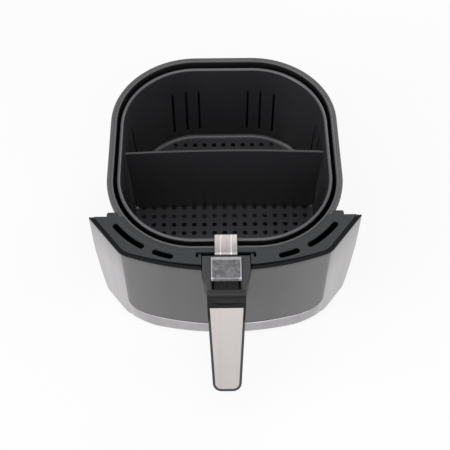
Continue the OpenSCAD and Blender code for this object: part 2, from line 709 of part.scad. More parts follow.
strap_rivet_spots = [[-6, basket_rim_z - 16.5], [6, basket_rim_z - 16.5], [0, basket_rim_z - 28.5]];
strap_foot_z = basket_rim_z - 36.5;
module handle_strap() {
    bend = 3;
    out_y = housing_rear_y - 0.1;
    in_top = basket_wall_y(basket_rim_z) - 0.2;
    in_foot = basket_wall_y(strap_foot_z) - 0.2;
    knee_z = strap_top_z - bend;
    in_bend_y = -(in_top - strap_t) - bend;
    out_bend_y = -out_y + bend;
    low_z = housing_low_z + 1.5;
    section = concat(
        [[-in_foot, strap_foot_z], [-in_foot + strap_t, strap_foot_z]],
        arc_points(in_bend_y, knee_z, bend, 0, 90, 6),
        arc_points(out_bend_y, knee_z, bend, 90, 180, 6),
        [[-out_y, low_z], [-out_y + strap_t, low_z]],
        arc_points(out_bend_y, knee_z, bend - strap_t, 180, 90, 5),
        arc_points(in_bend_y, knee_z, bend - strap_t, 90, 0, 5)
    );
    color("gainsboro") difference() {
        rotate([90, 0, 90]) translate([0, 0, -strap_w / 2]) linear_extrude(strap_w) polygon(section);
        translate([-latch_w / 2 - 0.7, -out_y - 1, low_z - 1]) cube([latch_w + 1.4, 4, nose_z + 2.5 - low_z]);
        for (spot = strap_rivet_spots) on_basket_front(spot[0], spot[1]) cylinder(h = 6, r = 1.85);
        for (spot = strap_screw_spots) translate([spot[0], -out_y - 2, spot[1]]) rotate([-90, 0, 0])
            cylinder(h = 5, r = 1.6);
    }
}

module strap_rivets() {
    color("gainsboro") for (spot = strap_rivet_spots) on_basket_front(spot[0], spot[1])
        translate([0, 0, -basket_t - 0.3]) rivet(1.8, 3, basket_t + strap_t + 0.7);
}

strap_screw_spots = [for (z = [strap_top_z - 10, strap_top_z - 21], x = [-7.8, 7.8]) [x, z]];
module strap_screws() {
    color("dimgray") for (spot = strap_screw_spots)
        translate([spot[0], -housing_rear_y + strap_t + 0.2, spot[1]]) rotate([-90, 0, 0])
            screw(1.5, 5, 2.6, 1.2);
}

module grip_frame() {
    translate([0, -slope_y, slope_z]) rotate([grip_slope, 0, 0]) children();
}

// Plan of the grip in its own sloping plane, moved in by `inset`
module grip_plan(inset, top) {
    end_w = grip_top_x - (grip_top_x - grip_end_x) * (grip_length - end_r) / grip_length;
    r = end_r - inset;
    foot = -grip_length + end_r;
    polygon(concat(
        [[-grip_top_x + inset, top], [grip_top_x - inset, top]],
        arc_points(end_w - end_r, foot, r, 0, -90, 8), arc_points(-end_w + end_r, foot, r, -90, -180, 8)
    ));
}

grip_split = 13;
grip_neck = 9;
function slope_point(y, z) = [
    -slope_y + y * cos(grip_slope) - z * sin(grip_slope), slope_z + y * sin(grip_slope) + z * cos(grip_slope)
];
grip_screw_spots = [-22, -66];
module housing_block() {
    nose = arc_points(-tray_front_y - 1.5, housing_top_z - 6, 6, 90, 160, 5);
    intersection() {
        rotate([90, 0, 90]) translate([0, 0, -30]) linear_extrude(60) polygon(concat(
            [[-housing_rear_y, housing_low_z], [-housing_rear_y, housing_top_z]], nose,
            [[-slope_y + 2.4, slope_z + 8.5], [-slope_y + 2.1, slope_z + 4], slope_point(0, 0)],
            [slope_point(-grip_neck, -grip_split + 3), slope_point(-grip_neck, -grip_t)],
            [slope_point(-4, -grip_t - 0.6), slope_point(2, -grip_t - 3), slope_point(8, -grip_t - 7)],
            [[-slope_y + 29.5, housing_low_z]]
        ));
        linear_extrude(housing_top_z + 1) polygon([
            [-housing_x, -housing_rear_y + 1], [housing_x, -housing_rear_y + 1],
            [housing_x, -housing_rear_y - 18], [grip_top_x, -housing_rear_y - 31],
            [grip_top_x, -slope_y - 20], [-grip_top_x, -slope_y - 20],
            [-grip_top_x, -housing_rear_y - 31], [-housing_x, -housing_rear_y - 18]
        ]);
        rotate([90, 0, 0]) linear_extrude(300) polygon([
            [-notch_low_x, housing_low_z - 40], [notch_low_x, housing_low_z - 40],
            [notch_low_x, housing_low_z], [housing_x, deck_z],
            [-housing_x, deck_z], [-notch_low_x, housing_low_z]
        ]);
    }
}

module handle_housing() {
    color("#2e2e31") difference() {
        union() {
            housing_block();
            grip_frame() translate([0, 0, -grip_split]) linear_extrude(grip_split) grip_plan(0, 1);
        }
        grip_frame() translate([0, 0, -plate_t - 0.1]) linear_extrude(plate_t + 3)
            grip_plan(plate_border, -plate_top_border);
        thumb_scoop();
        for (y = grip_screw_spots) grip_frame() translate([0, y, -grip_t]) cylinder(h = grip_t - 5, r = 1.65);
        housing_cuts();
    }
}

// A hollow across the neck, above the inlaid plate
module thumb_scoop() {
    scoop_x = grip_top_x - 1.3;
    scoop_r = 4.6;
    translate([0, -slope_y + 2, slope_z + 6.7]) rotate([0, 90, 0]) rotate_extrude()
        polygon([for (a = [-90:15:90]) [scoop_r * cos(a), scoop_x * sin(a)]]);
}

module housing_cuts() {
    rear = housing_rear_y + 2;
    translate([-guard_x - 0.5, -tray_front_y, tray_z])
        cube([2 * guard_x + 1, tray_front_y - guard_rear_y + 0.4, 8]);
    translate([-button_x - 0.3, -button_front_y - 0.3, pocket_floor_z])
        cube([2 * button_x + 0.6, button_front_y - button_rear_y + 0.6, 20]);
    for (s = [-1, 1]) translate([s * rail_x - rail_w / 2, -rail_front_y, tray_z - 6.5])
        cube([rail_w, rail_front_y - guard_rear_y - 1.6, 8]);
    translate([0, -spring_y, spring_seat_z]) cylinder(h = 20, r = spring_r + 0.9);
    translate([-well_x, -pivot_y - 4.5, spring_seat_z - 1]) cube([2 * well_x, pivot_y + 4.5 - rear, 20]);
    translate([-well_x, -pivot_y - 6, housing_low_z - 1])
        cube([2 * well_x, pivot_y + 6 - rear, spring_seat_z - housing_low_z]);
    translate([-latch_w / 2 - 0.7, -rear - 1, housing_low_z - 1])
        cube([latch_w + 1.4, 4, nose_z + 2.5 - housing_low_z]);
    translate([-pin_l / 2 - 0.2, -pivot_y, pivot_z]) rotate([0, 90, 0])
        cylinder(h = pin_l + 0.4, r = pin_r + pin_gap);
    for (spot = strap_screw_spots) translate([spot[0], -housing_rear_y - 5.2, spot[1]]) rotate([-90, 0, 0])
        cylinder(h = 8, r = 1.55);
}

module grip_back() {
    color("#2e2e31") difference() {
        grip_frame() translate([0, 0, -grip_t]) linear_extrude(grip_t - grip_split - 0.1)
            grip_plan(0, -grip_neck - 0.1);
        for (y = grip_screw_spots) grip_frame() translate([0, y, -grip_t]) {
            translate([0, 0, -1]) cylinder(h = grip_t, r = 1.75);
            translate([0, 0, -1]) cylinder(h = 4, r = 3.4);
        }
    }
}

module grip_screws() {
    color("dimgray") for (y = grip_screw_spots) grip_frame() translate([0, y, -grip_t + 2.9])
        mirror([0, 0, 1]) screw(1.6, grip_screw_l, 3, 2);
}

module handle_plate() {
    color("gainsboro") grip_frame() translate([0, 0, -plate_t]) linear_extrude(plate_t)
        grip_plan(plate_border + 0.15, -plate_top_border - 0.15);
}

module latch_pin() {
    color("silver") translate([-pin_l / 2, -pivot_y, pivot_z]) rotate([0, 90, 0])
        cylinder(h = pin_l, r = pin_r);
}

module release_latch() {
    arm = [[0, 0], [8.6, 0], [8.6, -2], [1, -3.2]];
    hook = [
        [-1.8, -2], [1.8, -2.4], [3.4, -9], [pivot_y - nose_reach, -9], [pivot_y - nose_reach, -10.4],
        [pivot_y - nose_reach - 2.4, -11.6], [1.2, -11.6], [-1.4, -9]
    ];
    color("#3a3a3d") translate([-latch_w / 2, -pivot_y, pivot_z]) rotate([90, 0, 90]) difference() {
        union() {
            cylinder(h = latch_w, r = 3);
            linear_extrude(latch_w) polygon(arm);
            linear_extrude(latch_w) polygon(hook);
        }
        translate([0, 0, -1]) cylinder(h = latch_w + 2, r = pin_r + pin_gap);
    }
}

module release_button() {
    color("#8c8c90") {
        translate([-button_x, -button_front_y, button_low_z])
            cube([2 * button_x, button_front_y - button_rear_y, button_top_z - button_low_z]);
        translate([-3.5, -press_y - 0.8, pivot_z + 0.4]) cube([7, 1.6, button_low_z - pivot_z]);
        translate([0, -spring_y, button_low_z - 2]) cylinder(h = 2.1, r = spring_r - wire_d / 2 - 0.4);
    }
}

// Coil spring: six-sided wire rings along a helix
spring_sides = 6;
spring_steps = 16;
function spring_ring(k) =
    let (
        a = 360 * k / spring_steps,
        z = spring_seat_z + wire_d / 2 + 0.1
            + (button_low_z - spring_seat_z - wire_d - 0.2) * k / (spring_turns * spring_steps)
    )
    [for (j = [0:spring_sides - 1]) let (b = 360 * j / spring_sides, r = spring_r + wire_d / 2 * cos(b))
        [r * cos(a), r * sin(a) - spring_y, z + wire_d / 2 * sin(b)]];
module button_spring() {
    rings = spring_turns * spring_steps;
    color("silver") polyhedron(
        points = [for (k = [0:rings]) each spring_ring(k)],
        faces = concat(
            [[for (j = [0:spring_sides - 1]) j]],
            [for (k = [0:rings - 1], j = [0:spring_sides - 1])
                let (a = k * spring_sides + j, b = k * spring_sides + (j + 1) % spring_sides)
                [a, a + spring_sides, b + spring_sides, b]],
            [[for (j = [spring_sides - 1:-1:0]) rings * spring_sides + j]]
        )
    );
}

module button_guard() {
    low = tray_z + seat;
    height = 4;
    front = guard_rear_y + guard_length;
    color([0.8, 0.82, 0.85, 0.6]) difference() {
        union() {
            translate([-guard_x, -front, low]) cube([2 * guard_x, guard_length, height]);
            for (s = [-1, 1]) translate([s * rail_x - rail_w / 2 + seat, -front + 2.4, tray_z - 5.5])
                cube([rail_w - 2 * seat, 8, 6]);
        }
        translate([-guard_x + guard_t, -front + guard_t, low - 1])
            cube([2 * (guard_x - guard_t), guard_length - 2 * guard_t, height - guard_t + 1]);
    }
}

module divider() {
    low_z = basket_floor_z + seat;
    foot_x = basket_core_x + wall_foot_r - divider_gap;
    top_x = basket_core_x + wall_top_r - divider_gap;
    bow_r = (top_x * top_x + divider_bow * divider_bow) / (2 * divider_bow);
    bow_cy = divider_bow - bow_r;
    reach = asin(top_x / bow_r) + 0.4;
    module band(t) polygon(concat(
        arc_points(0, bow_cy, bow_r + t / 2, 90 - reach, 90 + reach, 28),
        arc_points(0, bow_cy, bow_r - t / 2, 90 + reach, 90 - reach, 28)
    ));
    color("#222224") intersection() {
        union() {
            linear_extrude(divider_top_z) band(divider_t);
            translate([0, 0, divider_top_z - divider_hem]) linear_extrude(divider_hem) band(divider_hem);
        }
        rotate([90, 0, 0]) translate([0, 0, -20]) linear_extrude(40) polygon(concat(
            [[-top_x, divider_top_z], [-foot_x, fillet_top_z + 2]],
            arc_points(-foot_x + basket_fillet + 2, fillet_top_z + 2, basket_fillet + 2 - seat, 180, 270, 5),
            arc_points(foot_x - basket_fillet - 2, fillet_top_z + 2, basket_fillet + 2 - seat, 270, 360, 5),
            [[foot_x, fillet_top_z + 2], [top_x, divider_top_z]]
        ));
    }
}

outer_pan();
pan_bracket();
pan_rivets();
catch_plate();
front_frame();
frame_screws();
front_panel();
panel_screws();
front_deck();
deck_screws();
basket();
handle_strap();
strap_rivets();
handle_housing();
strap_screws();
grip_back();
grip_screws();
handle_plate();
latch_pin();
button_spring();
release_latch();
release_button();
button_guard();
divider();
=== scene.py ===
"""The drawer of an air fryer: finishes for the solids, the panel's shell and the button's coil."""
import json
import math

import bmesh
import bpy
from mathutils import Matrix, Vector


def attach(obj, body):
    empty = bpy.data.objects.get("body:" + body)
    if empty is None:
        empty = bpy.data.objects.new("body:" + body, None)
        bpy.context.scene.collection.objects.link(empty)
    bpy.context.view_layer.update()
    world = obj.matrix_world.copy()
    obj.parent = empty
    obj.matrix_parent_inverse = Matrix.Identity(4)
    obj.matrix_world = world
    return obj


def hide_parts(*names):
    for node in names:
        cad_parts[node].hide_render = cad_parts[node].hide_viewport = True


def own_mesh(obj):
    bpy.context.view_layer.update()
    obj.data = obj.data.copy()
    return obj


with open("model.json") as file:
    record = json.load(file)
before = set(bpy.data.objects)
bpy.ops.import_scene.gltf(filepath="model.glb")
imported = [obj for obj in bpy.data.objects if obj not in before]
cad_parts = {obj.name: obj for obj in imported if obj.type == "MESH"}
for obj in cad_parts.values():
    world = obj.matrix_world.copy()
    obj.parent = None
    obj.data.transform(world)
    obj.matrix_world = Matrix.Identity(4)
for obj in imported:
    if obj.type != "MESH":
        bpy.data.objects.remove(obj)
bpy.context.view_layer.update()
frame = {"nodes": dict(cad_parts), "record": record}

MM = 0.001
X, Y, Z = 0, 1, 2


# ---------------------------------------------------------------- shader maths

class Wire:
    """One output socket, with maths that adds its nodes."""

    def __init__(self, tree, socket):
        self.tree = tree
        self.socket = socket

    def maths(self, operation, first, second=0.0, clamp=False):
        settings = {"operation": operation, "use_clamp": clamp}
        return add_node(self.tree, "ShaderNodeMath", settings, {0: first, 1: second})

    def __add__(self, other):
        return self.maths("ADD", self, other)

    __radd__ = __add__

    def __mul__(self, other):
        return self.maths("MULTIPLY", self, other)

    __rmul__ = __mul__

    def __sub__(self, other):
        return self.maths("SUBTRACT", self, other)

    def __rsub__(self, other):
        return self.maths("SUBTRACT", other, self)

    def __truediv__(self, other):
        return self.maths("DIVIDE", self, other)

    def __pow__(self, other):
        return self.maths("POWER", self, other)

    def __abs__(self):
        return self.maths("ABSOLUTE", self)

    def sine(self):
        return self.maths("SINE", self)

    def over(self, edge):
        """One above an edge, and nought elsewhere."""
        return self.maths("GREATER_THAN", self, edge)

    def under(self, edge):
        """One below an edge, and nought elsewhere."""
        return self.maths("LESS_THAN", self, edge)

    def at_least(self, other):
        """The greater of two values."""
        return self.maths("MAXIMUM", self, other)

    def clamped(self):
        """The value held between nought and one."""
        return self.maths("ADD", self, 0.0, clamp=True)


def plug(tree, socket, value):
    """Links a wire to a socket, or sets the socket's own value."""
    if isinstance(value, Wire):
        tree.links.new(value.socket, socket)
    elif socket.type == "RGBA":
        socket.default_value = (*value, 1.0)
    else:
        socket.default_value = value


def add_node(tree, kind, settings, sockets, output=0):
    """Adds a node of a type, sets it up, then fills its sockets, which go by name or number."""
    node = tree.nodes.new(kind)
    for key, value in settings.items():
        if key == "stops":
            for stop, (position, tone) in zip(node.color_ramp.elements, value):
                stop.position = position
                stop.color = (tone, tone, tone, 1)
        else:
            setattr(node, key, value)
    for key, value in sockets.items():
        plug(tree, node.inputs[key], value)
    return Wire(tree, node.outputs[output]) if node.outputs else None


class Nodes:
    """The nodes of a material or of the world, from an empty tree."""

    def __init__(self, owner):
        owner.use_nodes = True
        self.owner = owner
        self.tree = owner.node_tree
        self.tree.nodes.clear()

    def add(self, kind, settings=None, output=0, at=None, **sockets):
        """A node with its sockets by name as keywords, and those that share a name by number in at."""
        named = {key.replace("_", " "): value for key, value in sockets.items()}
        return add_node(self.tree, kind, settings or {}, {**(at or {}), **named}, output)


class Finish(Nodes):
    """A material whose patterns lie in the object's own frame."""

    def __init__(self, name):
        super().__init__(bpy.data.materials.new(name))
        self.place = self.add("ShaderNodeTexCoord", output="Object")

    def metres(self, axis):
        """Place along one axis, in metres."""
        return self.add("ShaderNodeSeparateXYZ", output=axis, Vector=self.place)

    def mm(self, axis):
        """Place along one axis, in millimetres."""
        return self.metres(axis) * 1000

    def noise(self, size_mm, detail=2.0, stretch=(1, 1, 1), rough=0.5):
        """Noise of one grain size, drawn out along the axes that are stretched."""
        scale = tuple(1 / (size_mm * MM * s) for s in stretch)
        place = self.add("ShaderNodeMapping", Vector=self.place, Scale=scale)
        return self.add("ShaderNodeTexNoise", Vector=place, Scale=1.0, Detail=detail, Roughness=rough)

    def rise(self, value, low, high):
        """Nought up to one value, one from another, and a ramp between them."""
        return self.add("ShaderNodeValToRGB", {"stops": ((low, 0.0), (high, 1.0))}, Fac=value)

    def mix(self, share, first, second):
        """Two colours, mixed by the share of the second."""
        sockets = {0: share, 6: first, 7: second}
        return self.add("ShaderNodeMix", {"data_type": "RGBA"}, output=2, at=sockets)

    def from_core(self, core):
        """Distance out from the corner centres of a rounded rectangle, in millimetres."""
        across, along = (
            (abs(self.metres(axis)) * 1000 - half).at_least(0.0)
            for axis, half in zip((X, Y), core)
        )
        return (across * across + along * along) ** 0.5

    def line(self, place, centre, width):
        """One on a line of a given width about a centre, and nought away from it."""
        return 1 - (abs(place - centre) / (width / 2)).clamped()

    def uneven(self, pattern, level, spread):
        """A roughness spread about a level by a pattern."""
        return (pattern * spread + (level - spread / 2)).clamped()

    def bump(self, height, depth_mm, edge_mm=0.3):
        """A bump over edges that are eased by a small radius."""
        eased = self.add("ShaderNodeBevel", {"samples": 4}, Radius=edge_mm * MM)
        depth = depth_mm * MM
        return self.add("ShaderNodeBump", Height=height, Distance=depth, Strength=1.0, Normal=eased)

    def close(self, **sockets):
        """Ends the nodes in one shader and gives the material."""
        shader = self.add("ShaderNodeBsdfPrincipled", output="BSDF", **sockets)
        self.add("ShaderNodeOutputMaterial", Surface=shader)
        return self.owner


def tinted(tone, factor):
    """A tone made paler or deeper by a factor."""
    return tuple(min(1.0, channel * factor) for channel in tone)


# ---------------------------------------------------------------- finishes

# Sizes of the solids that the finishes follow, in millimetres. The handle lies towards -Y, so rear
# means nearer to the pan. Halves and inner edges are distances from the middle along X.

# Corner centres of the pan, and its bore and the deck's raised line as distances out from them.
PAN_CORE = (31.8, 39.5)
PAN_BORE, DECK_SEAM, SEAM_WIDTH = 87.6, 96.4, 0.9
# Heights of the rims and of the basket's floor, how far down from the rims their painted highlight
# reaches, and how far up from the floor it is paler.
PAN_RIM, BASKET_RIM, BASKET_FLOOR = 137, 134.5, 20.3
RIM_ROLL, FLOOR_PALE_REACH = 2.4, 1.5
# The handle's neck and scoop, the ribbed track ahead of the guard, and the slots beside the track, all
# painted darker as shade.
NECK_REAR, SCOOP_REAR, NECK_FRONT = -178.6, -184.2, -197.4
TRACK_HALF, TRACK_REAR, TRACK_FRONT, TRACK_Z = 12.4, -167.9, -178.2, 134
TRACK_RIB_PITCH = 2.1
SLOT_INNER, SLOT_REAR, SLOT_FRONT, SLOT_LOW, SLOT_HIGH = 12.3, -143, -178.6, 127.9, 134.2
# Where the strap's painted shade starts and over what run, then distance out and width of rib and
# valley.
STRAP_BEND, STRAP_RUN = -113.5, 26
# The rib carries a painted highlight, and the valley a painted shade line.
STRAP_RIB, STRAP_VALLEY = (5.3, 1.5), (3.9, 1.6)
# The guard's middle along Y, and how far out from it the painted highlights on its walls and front
# corners begin.
GUARD_MIDDLE = -154.65
GUARD_SIDE, GUARD_REAR, GUARD_FRONT = 13.9, 9.6, 11.35
GUARD_CORNER = (12.9, 10.8)
# Where the face's lacquer is deepest and how far off its painted sheen makes it palest, then where
# painted shade deepens the sides.
FACE_MIDDLE, FACE_REACH = -6, 110
LACQUER_DEEP_FROM, LACQUER_DEEP_RUN = 86, 48

# Streaks drawn out along the strap and the grip, the painted shade inside the pan, and the tones of the
# painted highlights on the strap's ribs and on the guard's front corners.
ALONG_STRAP = (1, 60, 60)
PAN_PAINTED_SHADE = (0.005, 0.005, 0.0055)
RIB_HIGHLIGHT_STEEL = (0.92, 0.88, 0.87)
CORNER_GLINT_CLEAR = (0.62, 0.62, 0.65)


def coated_sheet(name, tone, rough, coat=0.35, painted_shade=None, painted_rim_highlight=None, paler_floor=None):
    """Non-stick coating over pressed sheet: soft orange peel and faint speckle.

    The painted shade darkens a pan inside its bore. A painted highlight makes the rim paler, and the
    floor is paler too, each from a height and by a factor.
    """
    f = Finish(name)
    speckle = f.rise(f.noise(0.9, 3), 0.45, 0.75)
    cloud = f.noise(38, 3)
    colour = f.mix(speckle, tinted(tone, 0.9), tinted(tone, 1.1))
    colour = f.mix(cloud, tinted(tone, 0.85), colour)
    # Painted shade: a pan's inside is painted darker than its flange, as the shade in its bore.
    if painted_shade:
        outside = ((f.from_core(PAN_CORE) - PAN_BORE) * 0.8).clamped()
        colour = f.mix(outside, painted_shade, colour)
    height = f.mm(Z)
    # Painted highlight: the rolled rim is painted paler, standing in for the light it catches.
    if painted_rim_highlight:
        rim_z, paleness = painted_rim_highlight
        on_rim = ((height - (rim_z - RIM_ROLL)) / 2).clamped() * (cloud * 0.6 + 0.5)
        colour = f.mix(on_rim, colour, tinted(tone, paleness))
    # Paler towards the basket's floor, up to a height above it.
    if paler_floor:
        floor_z, paleness = paler_floor
        on_floor = (1 - (height - floor_z) / FLOOR_PALE_REACH).clamped()
        colour = f.mix(on_floor, colour, tinted(tone, paleness))
    peel = f.noise(2.2, 2) * 0.6 + f.noise(0.5, 1) * 0.4
    return f.close(
        Base_Color=colour,
        Roughness=f.uneven(cloud, rough, 0.12),
        Coat_Weight=coat,
        Coat_Roughness=0.22,
        Normal=f.bump(peel, 0.03, edge_mm=0.2),
    )


def moulded_colour(f, tone):
    """The clouded tone of moulded plastic, and the pits of its spark-eroded grain."""
    cloud = f.noise(26, 2)
    pits = f.noise(0.55, 3, rough=0.65)
    colour = f.mix(cloud, tinted(tone, 0.88), tinted(tone, 1.1))
    return f.mix(f.rise(pits, 0.5, 0.8), colour, tinted(tone, 1.3)), pits


def moulded(name, tone, rough, shine=0.5):
    """Plain moulded plastic."""
    f = Finish(name)
    colour, pits = moulded_colour(f, tone)
    return f.close(
        Base_Color=colour,
        Roughness=f.uneven(pits, rough, 0.2),
        Specular_IOR_Level=shine,
        Normal=f.bump(pits, 0.05),
    )


def deck_moulding(name, tone, rough, shine):
    """The deck's plastic, with the fine raised line that runs round the pan's flange."""
    f = Finish(name)
    colour, pits = moulded_colour(f, tone)
    # The raised line is bumped, and also painted paler as a painted highlight along it.
    seam = f.line(f.from_core(PAN_CORE), DECK_SEAM, SEAM_WIDTH)
    colour = f.mix(seam * 0.6, colour, tinted(tone, 2.6))
    return f.close(
        Base_Color=colour,
        Roughness=f.uneven(pits, rough, 0.2),
        Specular_IOR_Level=shine,
        Normal=f.bump(pits + seam * 6, 0.05),
    )


def handle_moulding(name, tone, rough, shine):
    """The handle's plastic: ribbed on the guard's track, painted blacker as shade on neck, scoop, track
    and slots.
    """
    f = Finish(name)
    colour, pits = moulded_colour(f, tone)
    y = f.mm(Y)
    # Painted shade: the neck and, deeper still, the scoop are painted darker.
    past_neck = ((NECK_FRONT - y) * 0.5).clamped()
    neck = ((NECK_REAR - y) * 0.8).clamped() * (1 - past_neck)
    scoop = ((SCOOP_REAR - y) * 1.1).clamped() * neck
    colour = f.mix(neck, colour, tinted(tone, 0.44))
    colour = f.mix(scoop, colour, tinted(tone, 0.12))
    # Painted shade: the recessed track is painted darker, with painted stripes of light and shade across
    # its bumped ribs.
    across = abs(f.metres(X))
    track = 1 - across.over(TRACK_HALF * MM)
    track = track * y.under(TRACK_REAR) * y.over(TRACK_FRONT) * f.metres(Z).over(TRACK_Z * MM)
    rib = (f.metres(X) * (2000 * math.pi / TRACK_RIB_PITCH)).sine() * 0.5 + 0.5
    colour = f.mix(track, colour, f.mix(rib, tinted(tone, 0.03), tinted(tone, 0.3)))
    # Painted shade: the slots are painted nearly black.
    slot = f.metres(Z).under(SLOT_HIGH * MM) * f.metres(Z).over(SLOT_LOW * MM)
    slot = slot * y.over(SLOT_FRONT) * y.under(SLOT_REAR) * across.over(SLOT_INNER * MM)
    colour = f.mix(slot, colour, tinted(tone, 0.02))
    return f.close(
        Base_Color=colour,
        Roughness=(pits * 0.2 + track * 0.3 + (rough - 0.1)).clamped(),
        Specular_IOR_Level=shine,
        Normal=f.bump(pits + track * rib * 6, 0.05, edge_mm=0.9),
    )


def brushed_colour(f, tone, stretch, spread):
    """The streaked tone of brushed steel, and its streaks."""
    fine = f.noise(0.28, 3, stretch=stretch, rough=0.7)
    broad = f.noise(2.4, 2, stretch=stretch)
    streak = fine * 0.55 + broad * 0.45
    return f.mix(streak, tinted(tone, 1 - spread), tinted(tone, 1 + spread * 0.5)), streak


def brushed(name, tone, rough, stretch, spread=0.3):
    """Brushed steel, with its streaks along the stretched axes."""
    f = Finish(name)
    colour, streak = brushed_colour(f, tone, stretch, spread)
    return f.close(
        Base_Color=colour,
        Metallic=1.0,
        Roughness=f.uneven(streak, rough, 0.24),
        Normal=f.bump(streak, 0.02),
    )


def strap_brushing(name, tone, rough):
    """The strap's steel: drawn streaks, a pressed rib each side with painted highlight, and painted
    shade towards the housing.
    """
    f = Finish(name)
    colour, streak = brushed_colour(f, tone, ALONG_STRAP, 0.3)
    drawn = f.rise(f.noise(2.2, 3, stretch=(1, 11, 11)), 0.38, 0.6)
    # Painted shade: the strap is painted darker towards the housing.
    ahead = f.rise((STRAP_BEND - f.mm(Y)) / STRAP_RUN, 0.1, 0.95)
    colour = f.mix(drawn * 0.8, colour, tinted(tone, 0.66))
    colour = f.mix(ahead * 0.9, colour, tinted(tone, 0.3))
    across = abs(f.mm(X) + drawn * 0.4)
    # The ribs are bumped, and also painted paler as highlight, with a painted shade line in the valley
    # beside each.
    rib = f.line(across, *STRAP_RIB)
    valley = f.line(across, *STRAP_VALLEY)
    colour = f.mix(rib * (ahead * 0.5 + 0.12), colour, RIB_HIGHLIGHT_STEEL)
    colour = f.mix(valley * 0.35, colour, tinted(tone, 0.4))
    return f.close(
        Base_Color=colour,
        Metallic=1.0,
        Roughness=f.uneven(streak, rough, 0.24),
        Normal=f.bump(streak * 0.2 + drawn * 0.15 + rib, 0.15),
    )


def plated(name, tone, rough):
    """Zinc-plated steel."""
    f = Finish(name)
    cloud = f.noise(1.6, 3)
    return f.close(
        Base_Color=f.mix(cloud, tinted(tone, 0.75), tinted(tone, 1.1)),
        Metallic=1.0,
        Roughness=(cloud * 0.2 + rough).clamped(),
        Normal=f.bump(cloud, 0.02),
    )


def lacquer(name, tone, rough, streaked, painted_rim_shade=0.0, painted_crease_sheen=0.0):
    """Silver-grey metallic lacquer with flake and soft upright streaks.

    A painted shade darkens it towards the panel's rim, and a painted sheen lightens it towards the
    creases.
    """
    f = Finish(name)
    flake = f.rise(f.noise(0.45, 2), 0.35, 0.8)
    streak = f.noise(3.2, 3, stretch=(1, 1, 22))
    broad = f.rise(f.noise(13, 1, stretch=(1, 1, 30)), 0.35, 0.65)
    colour = f.mix(streak, tinted(tone, 0.92), tinted(tone, 1.08))
    colour = f.mix(broad * streaked, colour, tinted(tone, 0.72))
    colour = f.mix(flake * 0.5, colour, tinted(tone, 1.2))
    # Painted sheen: the face is painted paler towards its creases.
    creases = f.rise(abs(f.mm(X) - FACE_MIDDLE) / FACE_REACH, 0.5, 0.95)
    colour = f.mix(creases * painted_crease_sheen, colour, tinted(tone, 1.6))
    # Painted shade: the lacquer is painted darker towards the panel's rim.
    rim = f.rise((f.mm(Z) - LACQUER_DEEP_FROM) / LACQUER_DEEP_RUN, 0.0, 1.0)
    colour = f.mix(rim * painted_rim_shade, colour, tinted(tone, 0.55))
    return f.close(
        Base_Color=colour,
        Metallic=0.62,
        Roughness=(streak * 0.14 + (rough - 0.05)).clamped(),
        Coat_Weight=0.25,
        Coat_Roughness=0.22,
        Normal=f.bump(flake, 0.012),
    )


def clear_moulding(name, tone, edge_highlight_tone):
    """Smoky clear plastic, painted lighter in its walls as highlight and lightest on its front corners
    as glint.
    """
    f = Finish(name)
    haze = f.rise(f.noise(4.5, 3), 0.3, 0.7)
    across = abs(f.mm(X))
    ahead = GUARD_MIDDLE - f.mm(Y)
    behind = f.mm(Y) - GUARD_MIDDLE
    walls = across.over(GUARD_SIDE).at_least(behind.over(GUARD_REAR))
    front = ahead.over(GUARD_FRONT)
    corner = across.over(GUARD_CORNER[0]) * ahead.over(GUARD_CORNER[1])
    paleness = f.noise(3, 2) * 0.5 + 0.6
    # Painted highlights: walls and front are painted lighter, and the front corners take a painted
    # glint.
    colour = f.mix(haze, tinted(tone, 0.5), tinted(tone, 1.55))
    colour = f.mix(front * 0.45, colour, edge_highlight_tone)
    colour = f.mix((walls * paleness).clamped(), colour, edge_highlight_tone)
    colour = f.mix(corner, colour, CORNER_GLINT_CLEAR)
    return f.close(
        Base_Color=colour,
        Roughness=(haze * 0.12 + 0.22).clamped(),
        Alpha=walls.at_least(front) * 0.3 + 0.55,
        Normal=f.bump(haze, 0.01),
    )


FINISHES = {
    "pan_coating": coated_sheet(
        "pan_coating", (0.055, 0.055, 0.057), 0.45,
        coat=0.12, painted_shade=PAN_PAINTED_SHADE, painted_rim_highlight=(PAN_RIM, 1.25),
    ),
    "basket_coating": coated_sheet(
        "basket_coating", (0.023, 0.023, 0.026), 0.36,
        painted_rim_highlight=(BASKET_RIM, 3.0), paler_floor=(BASKET_FLOOR, 1.4),
    ),
    "divider_coating": coated_sheet("divider_coating", (0.016, 0.016, 0.018), 0.5),
    "bracket_steel": brushed("bracket_steel", (0.52, 0.52, 0.53), 0.4, (1, 1, 50)),
    "fastener_steel": plated("fastener_steel", (0.5, 0.5, 0.5), 0.25),
    "frame_plastic": moulded("frame_plastic", (0.007, 0.007, 0.008), 0.7, 0.15),
    "panel_finish": lacquer("panel_finish", (0.36, 0.345, 0.358), 0.3, 0.48, painted_rim_shade=0.8),
    "panel_face": lacquer("panel_face", (0.098, 0.095, 0.0975), 0.36, 0.12, painted_crease_sheen=0.6),
    "deck_plastic": deck_moulding("deck_plastic", (0.0135, 0.0148, 0.0162), 0.5, 0.42),
    "strap_steel": strap_brushing("strap_steel", (0.78, 0.73, 0.72), 0.36),
    "handle_plastic": handle_moulding("handle_plastic", (0.0445, 0.0445, 0.0475), 0.42, 0.2),
    "plate_steel": brushed("plate_steel", (0.475, 0.443, 0.438), 0.42, ALONG_STRAP, 0.1),
    "spring_steel": plated("spring_steel", (0.5, 0.5, 0.5), 0.2),
    "latch_plastic": moulded("latch_plastic", (0.04, 0.04, 0.042), 0.45),
    "button_plastic": moulded("button_plastic", (0.07, 0.07, 0.074), 0.4),
    "guard_clear": clear_moulding("guard_clear", (0.19, 0.187, 0.2), (0.42, 0.42, 0.45)),
}

